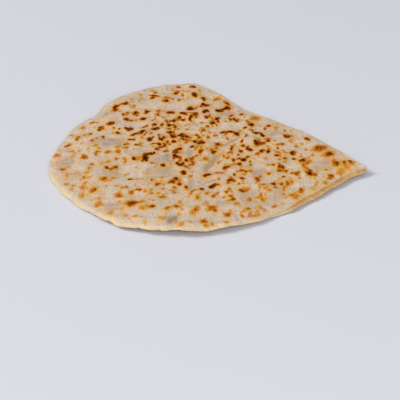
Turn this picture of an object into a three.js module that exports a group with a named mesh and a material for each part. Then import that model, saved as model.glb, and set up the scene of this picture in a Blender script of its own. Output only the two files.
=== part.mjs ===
// A meat-filled flatbread: one thin oval sheet of dough, folded in half over a layer of minced meat,
// its open edge pressed shut into a flat lip, then baked dry on a hot griddle until it blisters.
// Lengths are in millimetres and +Z is up. The underside rests on z = 0, the fold runs along X on
// the +Y side, and the pressed lip goes round the other three sides.

import * as THREE from "three";
import { ParametricGeometry } from "three/addons/geometries/ParametricGeometry.js";

// Driving dimensions
const WIDTH = 243; // along the fold
const DEPTH = 196; // from the fold to the far side of the lip
const LEAF = 1.4; // one thickness of baked dough
const FILLING = 2.6; // the meat between the two leaves
const FOLD_THICKNESS = 4.6; // where the sheet turns back on itself
const RIM = 1.7; // both leaves at the very edge, where they were pressed thinnest
const LIP_WIDTH = 9; // the pressed edge, with no meat in it
const LIP_SLOPE = 24; // from the pressed edge up to the full filling
const LEAF_STEP = 5.2; // how far the lower leaf shows past the upper one at the right end
const STEP_LEAST = 0.2; // and elsewhere round the lip
const RIGHT_X = [0.35 * WIDTH, 0.44 * WIDTH]; // the right end starts and is full at these places
const RIGHT_Y = [-0.1 * DEPTH, 0.12 * DEPTH];
const FOLD_FROM = 0.3 * DEPTH; // the fold lies beyond these places in Y
const FOLD_FULL = 0.42 * DEPTH;
const FOLD_FACING = [0.75, 0.97]; // how squarely the edge faces +Y, from pressed edge to full fold
const FOLD_BLUR = 4; // over which the fold runs out into the lip at its two ends

// Facets: round the edge, then out over the top, down the edge and back along the underside
const AROUND = 144;
const OUTLINE_STEPS = 2000; // for measuring the way along the outline
const STATIONS = 4 * AROUND; // places on the outline that the distance to the edge is measured from
const TOP_RINGS = 23;
const UNDER_RINGS = 9;
const TOP_MARGIN = 5; // from the last ring of the top to the outline
const UNDER_SHARE = 0.95; // the first ring of the underside, as a share of the way to the outline
const CROWDING = 0.35; // how much closer together the rings of the top lie towards the edge

// The outline, anticlockwise from the middle of the right end, in half widths and half depths.
// The fold is the long side near +1 in Y, and the left corner is rounder than the right one.
const OUTLINE = [
  [1.0, -0.07], [0.968, 0.76], [0.972, 0.888], // the right end, up to its corner
  [0.87, 0.905], [0.415, 1.0], [-0.28, 0.945], [-0.52, 0.985], [-0.815, 0.97], // the fold
  [-0.955, 0.825], [-1.0, 0.23], [-0.91, 0.015], [-0.855, -0.235], // the left end and its dent
  [-0.525, -0.76], [-0.24, -0.95], [0.41, -0.995], [0.615, -0.885], [0.86, -0.61], // the pressed lip
];

// The edge's section in two forms, from the top down: how far in from the outline, as millimetres,
// and how high, as a share of the edge's thickness. The pressed edge has the line between the two
// leaves as a groove, and the fold is one round.
const PRESSED_SECTION = [[1.1, 1.0], [0.0, 0.82], [0.9, 0.52], [0.2, 0.42], [0.0, 0.2], [0.9, 0.0]];
const FOLD_SECTION = [[2.0, 1.0], [0.5, 0.8], [0.0, 0.55], [0.0, 0.42], [0.4, 0.2], [1.9, 0.0]];
const UPPER_LEAF_ROWS = 3; // the rows of the pressed section that belong to the upper leaf
const EDGE_ROWS = PRESSED_SECTION.length;
const RINGS = TOP_RINGS + EDGE_ROWS + UNDER_RINGS - 1;

// Where the edge stands off the surface it lies on: place, height and reach
const LIFTS = [
  { x: 90, y: -74, height: 3.4, reach: 52 }, // the front of the lip curls up
  { x: 118, y: 86, height: 2.2, reach: 34 }, // the right corner
  { x: -122, y: 40, height: 2.2, reach: 42 }, // the left end of the fold
  { x: -60, y: -82, height: 1.2, reach: 36 },
];
const FLAT_SHARE = 0.45; // the middle share of the underside that lies flat

// Relief of the upper leaf
const RELIEF_FROM = [2, 11]; // it starts and is full at these distances in from the edge
const LUMP = { height: 0.42, across: 9.5, along: 8, drift: [17, 23], skew: 1.3 }; // meat under the dough
const BUBBLES = { count: 22, smallest: 6, largest: 12.5, height: 1.15, spread: 0.82 }; // steam blisters
const BUBBLE_LOWEST = 0.45; // the height of the smallest, as a share of the largest one's
const CREASES = [ // soft valleys between two points, with a depth and a half width
  { from: [11, 54], to: [24, 23], depth: 1.0, wide: 5 },
  { from: [24, 23], to: [52, -24], depth: 1.5, wide: 5 },
];
const RIPPLE = { height: 0.4, waves: 23, margin: 3 }; // finger marks along the pressed lip
const NICKS = { depth: 0.6, waves: [11, 29] }; // the uneven torn edge of the sheet

// Baked dough
const DOUGH_COLOUR = 0xd8bb92;
const DOUGH_ROUGHNESS = 0.75;

const GOLDEN_ANGLE = Math.PI * (3 - Math.sqrt(5));
const GOLDEN_SHARE = (Math.sqrt(5) - 1) / 2;
const TURN = 2 * Math.PI;

const { lerp, smoothstep } = THREE.MathUtils;

const outline = new THREE.CatmullRomCurve3(
  OUTLINE.map(([x, y]) => new THREE.Vector3((x * WIDTH) / 2, (y * DEPTH) / 2, 0)),
  true,
  "centripetal",
);
outline.arcLengthDivisions = OUTLINE_STEPS;

// One station round the edge: its point, how much of it is fold, how far the lower leaf shows there,
// and how deep it is nicked
function edgeAt(u) {
  const way = u - Math.floor(u);
  const point = outline.getPointAt(way);
  const facing = -outline.getTangentAt(way).x;
  const isFold = smoothstep(facing, ...FOLD_FACING) * smoothstep(point.y, FOLD_FROM, FOLD_FULL);
  const torn = NICKS.waves.reduce((sum, waves) => sum + Math.sin(waves * TURN * way + waves), 0);
  const isRight = smoothstep(point.x, ...RIGHT_X) * smoothstep(point.y, ...RIGHT_Y);
  const step = lerp(STEP_LEAST, LEAF_STEP, isRight) * (1 - isFold);
  const nick = ((1 - isFold) * NICKS.depth * torn) / NICKS.waves.length;
  return { way, point, isFold, step, nick };
}

const stations = Array.from({ length: STATIONS }, (_, k) => edgeAt(k / STATIONS));

// How far in from the edge a place lies, and how much of the edge near it is fold: a mean over all
// stations that weighs the nearest ones most
function nearEdge(x, y) {
  let nearest = Infinity;
  let fold = 0;
  let weights = 0;
  for (const { point, isFold } of stations) {
    const squared = (x - point.x) ** 2 + (y - point.y) ** 2;
    const weight = (squared + FOLD_BLUR ** 2) ** -3;
    nearest = Math.min(nearest, squared);
    fold += weight * isFold;
    weights += weight;
  }
  return { inward: Math.sqrt(nearest), isFold: fold / weights };
}

// How high the underside stands off at a place, nothing over its flat middle
function liftAt(x, y, share) {
  const sum = LIFTS.reduce((total, lift) => {
    const squared = (x - lift.x) ** 2 + (y - lift.y) ** 2;
    return total + lift.height * Math.exp(-squared / lift.reach ** 2);
  }, 0);
  return sum * smoothstep(share, FLAT_SHARE, 1);
}

// Steam blisters laid out by the golden angle, so that they are spread evenly
const bubbles = Array.from({ length: BUBBLES.count }, (_, k) => {
  const share = BUBBLES.spread * Math.sqrt((k + 0.5) / BUBBLES.count);
  const size = (k * GOLDEN_SHARE) % 1;
  return {
    x: (share * WIDTH * Math.cos(k * GOLDEN_ANGLE)) / 2,
    y: (share * DEPTH * Math.sin(k * GOLDEN_ANGLE)) / 2,
    radius: lerp(BUBBLES.smallest, BUBBLES.largest, size),
    height: BUBBLES.height * lerp(BUBBLE_LOWEST, 1, size),
  };
});

function bubbleAt(x, y) {
  return bubbles.reduce((sum, bubble) => {
    const away = ((x - bubble.x) ** 2 + (y - bubble.y) ** 2) / bubble.radius ** 2;
    return sum + (away < 1 ? bubble.height * (1 - away) ** 2 : 0);
  }, 0);
}

// How deep the soft valleys are at a place
function creaseAt(x, y) {
  return CREASES.reduce((sum, { from, to, depth, wide }) => {
    const [dx, dy] = [to[0] - from[0], to[1] - from[1]];
    const share = ((x - from[0]) * dx + (y - from[1]) * dy) / (dx * dx + dy * dy);
    const held = Math.min(1, Math.max(0, share));
    const away = Math.hypot(x - from[0] - held * dx, y - from[1] - held * dy) / wide;
    return sum + depth * Math.exp(-away * away);
  }, 0);
}

// Crumbs of meat that show as low rounded lumps in rows that wander
function lumpAt(x, y) {
  const bend = Math.sin(x / LUMP.drift[0] + y / LUMP.drift[1]);
  return LUMP.height * Math.sin(x / LUMP.across + bend) * Math.sin(y / LUMP.along - LUMP.skew * bend);
}

// The bread's thickness at a distance in from the edge, between the pressed edge's and the fold's
function thicknessAt(inward, isFold) {
  const full = 2 * LEAF + FILLING;
  const lip = lerp(RIM, 2 * LEAF, smoothstep(inward, 0, LIP_WIDTH));
  const pressed = lip + FILLING * smoothstep(inward, LIP_WIDTH, LIP_WIDTH + LIP_SLOPE);
  const folded = lerp(FOLD_THICKNESS, full, smoothstep(inward, 0, LIP_SLOPE));
  return lerp(pressed, folded, isFold);
}

// A point of the top or the underside, at a share of the way from the middle to the edge
function facePoint(edge, share, isTop, target) {
  const x = edge.point.x * share;
  const y = edge.point.y * share;
  let z = liftAt(x, y, share);
  if (isTop) {
    const { inward, isFold } = nearEdge(x, y);
    const filled = smoothstep(inward, ...RELIEF_FROM);
    const ripple = RIPPLE.height * Math.sin(RIPPLE.waves * TURN * edge.way) * (1 - isFold);
    z += thicknessAt(inward, isFold) + filled * (lumpAt(x, y) + bubbleAt(x, y) - creaseAt(x, y));
    z += ripple * smoothstep(inward, 0, RIPPLE.margin) * (1 - filled);
  }
  return target.set(x, y, z);
}

// A point of the edge's section, by its row from the top down. Rows are set in towards the middle, so
// that they don't cross at the sharp corner.
function edgePoint(edge, row, target) {
  const [pressedIn, pressedHigh] = PRESSED_SECTION[row];
  const [foldIn, foldHigh] = FOLD_SECTION[row];
  const inset = lerp(pressedIn + (row < UPPER_LEAF_ROWS ? edge.step : 0), foldIn, edge.isFold) - edge.nick;
  const share = 1 - inset / edge.point.length();
  const x = edge.point.x * share;
  const y = edge.point.y * share;
  const z = liftAt(x, y, 1) + lerp(pressedHigh, foldHigh, edge.isFold) * thicknessAt(0, edge.isFold);
  return target.set(x, y, z);
}

// The whole skin: u goes round the edge, and v from the middle of the top, over the edge and back
// to the middle of the underside. Rings of the top lie closer together towards the edge.
function skinPoint(u, v, target) {
  const edge = edgeAt(1 - u);
  const ring = Math.round(v * RINGS);
  if (ring < TOP_RINGS) {
    const out = ring / (TOP_RINGS - 1);
    const last = 1 - (TOP_MARGIN + edge.step) / edge.point.length();
    return facePoint(edge, last * out * (1 + CROWDING * (1 - out)), true, target);
  }
  const row = ring - TOP_RINGS;
  if (row < EDGE_ROWS) return edgePoint(edge, row, target);
  const back = (row - EDGE_ROWS) / (UNDER_RINGS - 1);
  return facePoint(edge, UNDER_SHARE * (1 - back), false, target);
}

const skin = new ParametricGeometry(skinPoint, AROUND, RINGS);
skin.computeVertexNormals();

// The box round the bread is centred over the origin
skin.computeBoundingBox();
const middle = skin.boundingBox.getCenter(new THREE.Vector3());
skin.translate(-middle.x, -middle.y, 0);

const flatbread = new THREE.Mesh(
  skin,
  new THREE.MeshStandardMaterial({ color: DOUGH_COLOUR, roughness: DOUGH_ROUGHNESS, metalness: 0 }),
);
flatbread.name = "flatbread";

const part = new THREE.Group();
part.add(flatbread);

export default part;
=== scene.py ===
# %% [markdown]
# # A meat-filled flatbread
# A thin oval sheet of dough is folded in half over a layer of minced meat. Its open edge is pressed
# shut into a flat lip, and the bread is baked dry on a hot griddle until it blisters and browns.
# The imported model brings the bread's place and size. It is loaded first.

# %% The imported model
import bpy
import numpy as np
from mathutils import Matrix


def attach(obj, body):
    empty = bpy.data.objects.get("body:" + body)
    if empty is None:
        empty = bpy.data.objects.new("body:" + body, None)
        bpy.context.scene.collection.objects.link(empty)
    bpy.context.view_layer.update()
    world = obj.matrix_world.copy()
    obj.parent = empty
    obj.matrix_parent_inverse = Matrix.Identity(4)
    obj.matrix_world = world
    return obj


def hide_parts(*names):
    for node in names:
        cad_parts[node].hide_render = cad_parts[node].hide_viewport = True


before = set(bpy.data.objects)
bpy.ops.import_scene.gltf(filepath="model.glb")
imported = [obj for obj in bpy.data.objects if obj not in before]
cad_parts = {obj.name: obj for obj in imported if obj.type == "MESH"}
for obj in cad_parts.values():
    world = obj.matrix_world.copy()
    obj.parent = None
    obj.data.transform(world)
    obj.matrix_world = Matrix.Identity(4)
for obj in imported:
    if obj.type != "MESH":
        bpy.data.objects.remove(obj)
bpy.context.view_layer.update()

MM = 0.001  # the bread is worked out in millimetres, and becomes metres as it enters Blender

# %% [markdown]
# ## The camera
# The bread is seen from the front right, from a height of about 28 degrees, with a long lens that keeps
# its far side nearly as large as its near side. The picture leans a little, as a hand-held one does.
# A camera could be turned by three angles, but building it from three directions is clearer: back
# towards the camera, right and up. The same three directions then carry a place in the picture down
# to the bread, which the griddle marks need later.

# %% Camera from an azimuth, an elevation and a lean
AZIMUTH, ELEVATION, LEAN = np.radians([53.2, 27.9, 3.4])
FIELD = np.radians(15)  # the angle that the lens takes in
AIM = np.array([62.0, -26.5, 0.0])  # the point on the floor in the middle of the picture
DISTANCE = 1107.0  # from that point to the camera
PICTURE = 400  # the picture is this many columns wide and rows high


def put(name, data):
    """A new object in the scene."""
    thing = bpy.data.objects.new(name, data)
    bpy.context.scene.collection.objects.link(thing)
    return thing


def level_right_and_up(back):
    """For something that faces the other way than back: its level right, and its up."""
    right = np.cross([0, 0, 1], back)
    right /= np.linalg.norm(right)
    return right, np.cross(back, right)


def facing(place, right, up, back):
    """The matrix of something at a place, with its X, Y and Z along three directions."""
    return Matrix.Translation(place) @ Matrix(np.column_stack([right, up, back]).tolist()).to_4x4()


toward_camera = np.array([
    np.sin(AZIMUTH) * np.cos(ELEVATION), -np.cos(AZIMUTH) * np.cos(ELEVATION), np.sin(ELEVATION)])
level_right, level_up = level_right_and_up(toward_camera)
picture_right = np.cos(LEAN) * level_right - np.sin(LEAN) * level_up
picture_up = np.sin(LEAN) * level_right + np.cos(LEAN) * level_up
camera_place = AIM + DISTANCE * toward_camera
away_x, away_y = -toward_camera[:2] / np.linalg.norm(toward_camera[:2])  # away from it, on the floor

camera_data = bpy.data.cameras.new("camera")
camera_data.angle = FIELD
camera = put("camera", camera_data)
camera.matrix_world = facing(camera_place * MM, picture_right, picture_up, toward_camera)
bpy.context.scene.camera = camera
print("camera at, mm:", np.round(camera_place, 1).tolist())

# %% [markdown]
# ## The outline
# Seen from above the bread is a deep letter D: the fold is the long side, nearly straight, with a sharp
# corner at its right end and a rounder one at its left, and the pressed lip is the round side. It could
# be a curve object, but an array of points is easier to measure against. A few points are enough,
# because a smooth closed curve runs through them.

# %% A smooth closed curve through a few points
WIDTH, DEPTH = 243.0, 196.0  # along the fold, and from the fold to the lip
OUTLINE = np.array([  # in half widths and half depths, anticlockwise
    (1.0, -0.07), (0.968, 0.76), (0.972, 0.888),
    (0.87, 0.905), (0.415, 1.0), (-0.28, 0.945), (-0.52, 0.985), (-0.815, 0.97),
    (-0.955, 0.825), (-1.0, 0.23), (-0.91, 0.015), (-0.855, -0.235),
    (-0.525, -0.76), (-0.24, -0.95), (0.41, -0.995), (0.615, -0.885), (0.86, -0.61)])
POINTS_A_SPAN = 40


def closed_curve(points, points_a_span):
    """Between two neighbours the curve is a cubic. Its slopes at both ends come from the points on
    either side, and each span is timed by the square root of its length."""
    before, start, end, after = (np.roll(points, shift, axis=0) for shift in (1, 0, -1, -2))
    time = np.sqrt(np.linalg.norm(end - start, axis=1))[:, None]
    time_before, time_after = np.roll(time, 1, axis=0), np.roll(time, -1, axis=0)
    chord = (end - start) / time
    leave = time * ((start - before) / time_before - (end - before) / (time_before + time) + chord)
    arrive = time * (chord - (after - start) / (time + time_after) + (after - end) / time_after)
    t = np.linspace(0, 1, points_a_span, endpoint=False)[None, :, None]
    start, end, leave, arrive = (part[:, None, :] for part in (start, end, leave, arrive))
    curve = ((2 * t**3 - 3 * t**2 + 1) * start + (t**3 - 2 * t**2 + t) * leave
             + (3 * t**2 - 2 * t**3) * end + (t**3 - t**2) * arrive)
    return curve.reshape(-1, 2)


edge = closed_curve(OUTLINE * [WIDTH / 2, DEPTH / 2], POINTS_A_SPAN)
edge -= (edge.min(axis=0) + edge.max(axis=0)) / 2
edge_along = np.roll(edge, -1, axis=0) - np.roll(edge, 1, axis=0)
edge_along /= np.linalg.norm(edge_along, axis=1)[:, None]
edge_step = np.linalg.norm(np.roll(edge, -1, axis=0) - edge, axis=1)
edge_way = np.concatenate([[0], np.cumsum(edge_step)[:-1]]) / edge_step.sum()
edge_angle = np.arctan2(edge[:, 1], edge[:, 0])
edge_radius = np.hypot(edge[:, 0], edge[:, 1])
print("outline:", len(edge), "points,", round(edge_step.sum()), "mm round")

# %% [markdown]
# ## Fold and lip
# Along the fold the sheet turns back on itself in one soft round. Everywhere else the edge is two leaves
# of dough pressed together, and at the right end the lower leaf shows a little past the upper one. Each
# point of the outline gets a number from nought to one that says how much of it is fold, so that every
# later formula can run from the one to the other without a break.

# %% How much of the edge is fold, and how far the lower leaf shows
FOLD_FACING = (0.75, 0.97)  # how squarely the edge faces the fold's side
FOLD_FROM, FOLD_FULL = 0.3 * DEPTH, 0.42 * DEPTH
LEAF_STEP, LEAF_STEP_LEAST = 5.2, 0.2  # at the right end, and elsewhere
RIGHT_X = (0.35 * WIDTH, 0.44 * WIDTH)  # the right end starts and is full at these places
RIGHT_Y = (-0.1 * DEPTH, 0.12 * DEPTH)
STEP_WANDER, STEP_CHANGE = 16.0, 0.45  # the upper leaf's edge wanders over this length, by this share
STEP_SEED = 51
LATTICE = 128  # the noise repeats after so many of its squares


def ease(value, low, high):
    """Nought below low, one above high, and three t squared minus two t cubed between them."""
    t = np.clip((value - low) / (high - low), 0, 1)
    return t * t * (3 - 2 * t)


def noise(x, y, size, seed):
    """Random heights from -1 to 1 on a square grid, eased between its four corners."""
    lattice = np.random.default_rng(seed).uniform(-1, 1, (LATTICE, LATTICE))
    gx, gy = x / size, y / size
    column, row = np.floor(gx).astype(int), np.floor(gy).astype(int)
    fx, fy = ease(gx - column, 0, 1), ease(gy - row, 0, 1)
    corner = [lattice[(column + i) % LATTICE, (row + j) % LATTICE] for j in (0, 1) for i in (0, 1)]
    near = corner[0] + (corner[1] - corner[0]) * fx
    far = corner[2] + (corner[3] - corner[2]) * fx
    return near + (far - near) * fy


def layered_noise(x, y, layers, seed):
    """A sum of noises, each with its size and height, from one seed after the other."""
    return sum(high * noise(x, y, size, seed + k) for k, (size, high) in enumerate(layers))


edge_fold = ease(-edge_along[:, 0], *FOLD_FACING) * ease(edge[:, 1], FOLD_FROM, FOLD_FULL)
edge_right = ease(edge[:, 0], *RIGHT_X) * ease(edge[:, 1], *RIGHT_Y) * (1 - edge_fold)
edge_leaf_step = LEAF_STEP_LEAST + (LEAF_STEP - LEAF_STEP_LEAST) * edge_right
edge_leaf_step *= (1 - edge_fold) * (1 + STEP_CHANGE * noise(*edge.T, STEP_WANDER, STEP_SEED))
print("share of the edge that is fold:", round(float((edge_fold * edge_step).sum() / edge_step.sum()), 2))

# %% [markdown]
# ## Two grids without a pole
# The upper and lower faces are height fields: a height for each place on a grid. A grid of rings round
# a centre would crowd its points in the middle, where the marks are finest. So a square grid is bent
# into a disc: each square ring of the grid becomes a round ring, which keeps all cells about the same
# size. The disc is then stretched to the outline. The lower face has half as many cells each way.

# %% A square grid bent into the outline
TOP_CELLS = 268  # along each side of the upper face's grid
UNDER_CELLS = TOP_CELLS // 2
TOP_MARGIN, UNDER_MARGIN = 2.6, 3.0  # from each face's last ring to the outline


def at_angle(angle, edge_values):
    """The edge's value in a direction from the middle, read between its two nearest points."""
    return np.interp(angle, edge_angle, edge_values, period=2 * np.pi)


def disc_grid(cells, margin, leaf_step):
    """Places of a square grid bent to the outline, and each one's share of the way there: a point's ring
    is the larger of its two square coordinates, and its angle follows the other one, an eighth turn for
    each half side."""
    a, b = np.meshgrid(*[np.linspace(-1, 1, cells + 1)] * 2, indexing="ij")
    wide = np.abs(a) > np.abs(b)
    ring = np.where(wide, a, b)
    other = np.where(wide, b, a) / np.where(ring == 0, 1, ring)
    angle = np.where(wide, np.pi / 4 * other, np.pi / 2 - np.pi / 4 * other)
    direction = angle + np.pi * (ring < 0)
    reach = at_angle(direction, edge_radius)
    share = ring * (1 - (margin + at_angle(direction, leaf_step)) / reach)
    out = share * reach
    return (out * np.cos(angle)).ravel(), (out * np.sin(angle)).ravel(), np.abs(share).ravel()


def rim_walk(cells):
    """The grid's outermost points in order, anticlockwise from its lower right corner."""
    index = np.arange((cells + 1) ** 2).reshape(cells + 1, cells + 1)
    return np.concatenate([index[-1, :-1], index[::-1, -1][:-1], index[0, ::-1][:-1], index[:-1, 0]])


top_x, top_y, _ = disc_grid(TOP_CELLS, TOP_MARGIN, edge_leaf_step)
under_x, under_y, under_share = disc_grid(UNDER_CELLS, UNDER_MARGIN, np.zeros(len(edge)))
top_rim, under_rim = rim_walk(TOP_CELLS), rim_walk(UNDER_CELLS)
print("points above:", len(top_x), "below:", len(under_x), "round the rim:", len(top_rim))

# %% [markdown]
# ## How far in from the edge
# The lip, the slope up to the filling and the browning all depend on the distance to the edge. A
# tree of points would find it one point at a time. Whole blocks of the grid against the whole outline
# is one line of numpy, and quick enough.

# %% Distance to the edge, and what the nearest edge is
BLOCKS = 60
BLUR = 4.0  # over which the fold runs out into the lip at its two ends


def nearest_edge(x, y):
    """For each place: the distance to the nearest point of the outline, that point's number, and how
    much of the edge near by is fold, as a mean weighted by one over the sixth power of distance."""
    found = []
    for block in np.array_split(np.column_stack([x, y]), BLOCKS):
        squared = ((block[:, None, :] - edge[None, :, :]) ** 2).sum(axis=2)
        nearest = squared.argmin(axis=1)
        weight = edge_step / (squared + BLUR**2) ** 3
        fold = (weight * edge_fold).sum(axis=1) / weight.sum(axis=1)
        found.append(np.column_stack([np.sqrt(squared.min(axis=1)), nearest, fold]))
    inward, nearest, fold = np.concatenate(found).T
    return inward, nearest.astype(int), fold


top_inward, top_nearest, top_fold = nearest_edge(top_x, top_y)
under_inward, under_nearest, _ = nearest_edge(under_x, under_y)
print("deepest point of the bread lies", round(top_inward.max(), 1), "mm in from the edge")

# %% [markdown]
# ## How it lies
# A baked bread is stiff, so its middle lies flat and its edge stands off in places: most at the front,
# where the lip curls up and leaves a dark gap. Each lift is a smooth hill over one place, which fades
# out towards the flat middle.

# %% Lifts of the edge
LIFTS = [  # place, height and reach
    (90, -74, 3.4, 52), (118, 86, 2.2, 34), (-122, 40, 2.2, 42), (-60, -82, 1.2, 36)]
FLAT_SHARE = 0.45  # the middle share of the way to the outline lies flat
WAVE_HEIGHT, WAVE_SIZE, WAVE_FROM = 1.8, 14.0, (0.86, 1.0)  # the thin edge curled in short waves
WAVE_SEED = 57
RAGGED_FROM, RAGGED_LEAST = (-60.0, 60.0), 0.35  # the edge is smoother at the left


def ragged(x):
    """How uneven the edge is, from a least share at the left to one at the right."""
    return RAGGED_LEAST + (1 - RAGGED_LEAST) * ease(x, *RAGGED_FROM)


def hills(x, y, rows):
    """A sum of smooth hills: each its height times e to the minus square of distance over reach."""
    return sum(high * np.exp(-((x - hx) ** 2 + (y - hy) ** 2) / reach**2) for hx, hy, high, reach in rows)


def lift(x, y, share):
    """The hills, and waves of noise that grow towards the edge."""
    waves = WAVE_HEIGHT * ragged(x) * (1 + noise(x, y, WAVE_SIZE, WAVE_SEED)) / 2
    return hills(x, y, LIFTS) * ease(share, FLAT_SHARE, 1) + waves * ease(share, *WAVE_FROM)


print("highest lift, mm:", round(float(lift(edge[:, 0], edge[:, 1], 1).max()), 2))

# %% [markdown]
# ## Thickness and relief
# Two leaves of dough lie flat together at the lip and part over the filling. Each could be a sheet of its
# own, but only the outside shows, so one formula gives the thickness from the distance to the edge.

# %% Thickness of the bread
LEAF, FILLING = 1.4, 2.6  # one thickness of dough, and the meat between two
FOLD_THICKNESS = 4.6  # where the sheet turns back on itself
LIP_WIDTH, LIP_SLOPE, RIM_THICKNESS = 9.0, 24.0, 1.7
LIP_MEAN, LIP_CHANGE, LIP_WANDER, LIP_SEED = 0.75, 0.6, 34.0, 55  # the lip is wide here and narrow there


def thickness(inward, fold, lip):
    """The lip's two leaves, rising by an easy step to the full filling, or the fold's own rise."""
    full = 2 * LEAF + FILLING
    pressed = (RIM_THICKNESS + (2 * LEAF - RIM_THICKNESS) * ease(inward, 0, lip)
               + FILLING * ease(inward, lip, lip + LIP_SLOPE))
    folded = FOLD_THICKNESS + (full - FOLD_THICKNESS) * ease(inward, 0, LIP_SLOPE)
    return pressed + fold * (folded - pressed)


edge_lip = LIP_WIDTH * (LIP_MEAN + LIP_CHANGE * noise(*edge.T, LIP_WANDER, LIP_SEED))
print("lip from", round(edge_lip.min(), 1), "to", round(edge_lip.max(), 1), "mm wide")

# %% [markdown]
# Crumbs of meat push the upper leaf up into low lumps, steam lifts it into blisters, and soft creases
# run between them. They could be sculpted, but as sums of simple formulas they can be counted and moved.

# %% Lumps and creases
LUMP_HEIGHT, LUMP_ACROSS, LUMP_ALONG, LUMP_DRIFT, LUMP_SKEW = 0.42, 9.5, 8.0, (17.0, 23.0), 1.3
CREASES = [  # from, to, depth and half width
    ((11, 54), (24, 23), 1.0, 5), ((24, 23), (52, -24), 1.5, 5), ((-59, -32), (-54, -11), 0.6, 4),
    ((-54, -52), (-48, -30), 0.6, 4), ((18, -41), (22, -23), 0.6, 4), ((-80, 34), (-75, 56), 0.5, 4)]


def segment_distance(x, y, start, end):
    """Distance to a straight stroke: the point's shadow on it, held between its two ends."""
    dx, dy = end[0] - start[0], end[1] - start[1]
    share = np.clip(((x - start[0]) * dx + (y - start[1]) * dy) / (dx * dx + dy * dy), 0, 1)
    return np.hypot(x - start[0] - share * dx, y - start[1] - share * dy)


def bands(x, y, strokes):
    """A sum of soft bands along strokes: each its height times e to the minus square of distance over
    half width."""
    return sum(high * np.exp(-((segment_distance(x, y, start, end) / half) ** 2))
               for start, end, high, half in strokes)


def lumps(x, y):
    """One sine along the fold times one across it, both pushed aside by a slow third sine."""
    bend = np.sin(x / LUMP_DRIFT[0] + y / LUMP_DRIFT[1])
    return LUMP_HEIGHT * np.sin(x / LUMP_ACROSS + bend) * np.sin(y / LUMP_ALONG - LUMP_SKEW * bend)


print("creases:", len(CREASES))

# %% Blisters
BUBBLE_COUNT, BUBBLE_SMALL, BUBBLE_LARGE, BUBBLE_SPREAD = 22, 6.0, 12.5, 0.82
BUBBLE_HEIGHT, BUBBLE_LOWEST = 1.15, 0.45  # the largest one's, and the smallest one's as a share of it
BLISTER_COUNT, BLISTER_RADIUS, BLISTER_HEIGHT, BLISTER_SEED = 160, (3.5, 9.0), (0.2, 0.7), 17


def domes(x, y, rows):
    """Low domes, each its height times the square of one minus the square of distance over radius."""
    return sum(high * np.clip(1 - ((x - dx) ** 2 + (y - dy) ** 2) / radius**2, 0, 1) ** 2
               for dx, dy, radius, high in rows)


def bubble_rows():
    """Large blisters, set out by the golden angle: place, radius and height."""
    k = np.arange(BUBBLE_COUNT)
    share = BUBBLE_SPREAD * np.sqrt((k + 0.5) / BUBBLE_COUNT)
    angle = k * np.pi * (3 - np.sqrt(5))
    size = (k * (np.sqrt(5) - 1) / 2) % 1
    return np.column_stack([
        share * WIDTH / 2 * np.cos(angle), share * DEPTH / 2 * np.sin(angle),
        BUBBLE_SMALL + (BUBBLE_LARGE - BUBBLE_SMALL) * size,
        BUBBLE_HEIGHT * (BUBBLE_LOWEST + (1 - BUBBLE_LOWEST) * size)])


def blister_rows(seed):
    """Small blisters strewn at random: place, radius and height."""
    rng = np.random.default_rng(seed)
    middle = rng.uniform(-0.5, 0.5, (BLISTER_COUNT, 2)) * [WIDTH, DEPTH]
    return np.column_stack([middle, rng.uniform(*BLISTER_RADIUS, BLISTER_COUNT),
                            rng.uniform(*BLISTER_HEIGHT, BLISTER_COUNT)])


def relief(x, y):
    """All the larger forms of the upper leaf."""
    return lumps(x, y) + domes(x, y, blisters) - bands(x, y, CREASES)


blisters = np.concatenate([bubble_rows(), blister_rows(BLISTER_SEED)])
print("blisters:", len(blisters))

# %% [markdown]
# Finer unevenness comes from the noise. The height of the upper face is then a sum: how the bread lies,
# how thick it is, and its relief.

# %% Height of the upper face
FINE_RELIEF, FINE_SEED = [(16.0, 0.6), (7.0, 0.35), (3.0, 0.15)], 70  # size and height
WRINKLE_HEIGHT, WRINKLE_LONG, WRINKLE_WIDE = 0.8, 16.0, 9.0  # they run across the picture
WRINKLE_SHARP, WRINKLE_SEED = 3, 75  # the power that narrows their ridges
RELIEF_FROM, FINE_FROM, FINE_LEAST = (2.0, 11.0), (0.3, 5.0), 0.5  # distances from the edge, and a share


def picture_ways(x, y):
    """Places on the floor, measured across the picture and away from the camera."""
    return x * away_y - y * away_x, x * away_x + y * away_y


def fine_relief(x, y):
    """Noise of three sizes, and wrinkles: ridges along the noughts of a noise drawn out sideways."""
    across, away = picture_ways(x, y)
    drawn_out = noise(across / WRINKLE_LONG, away / WRINKLE_WIDE, 1.0, WRINKLE_SEED)
    wrinkles = WRINKLE_HEIGHT * (1 - np.abs(drawn_out)) ** WRINKLE_SHARP
    return layered_noise(x, y, FINE_RELIEF, FINE_SEED) + wrinkles


def upper_height(x, y):
    """Height of the upper face: lift, thickness, and the relief, which fades out towards the edge."""
    inward, nearest, fold = nearest_edge(x, y)
    share = np.hypot(x, y) / at_angle(np.arctan2(y, x), edge_radius)
    fine_share = FINE_LEAST + (1 - FINE_LEAST) * ease(inward, *FINE_FROM)
    return (lift(x, y, share) + thickness(inward, fold, edge_lip[nearest])
            + relief(x, y) * ease(inward, *RELIEF_FROM) + fine_relief(x, y) * fine_share)


top_z = upper_height(top_x, top_y)
print("upper face from", round(top_z.min(), 2), "to", round(top_z.max(), 2), "mm")

# %% [markdown]
# ## Griddle marks
# Where the dough touched the hot iron it browned: dark strokes and rings round the blisters at the back
# and in the middle, softer orange spots at the front and left. The bold marks are read off the picture,
# and the camera's rays carry them down on to the bread.

# %% From a place in the picture to a place on the bread
TOP_LEVEL = 6.0  # a first guess at the upper face's height
ROUNDS = 3  # how often the guess is made better


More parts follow.
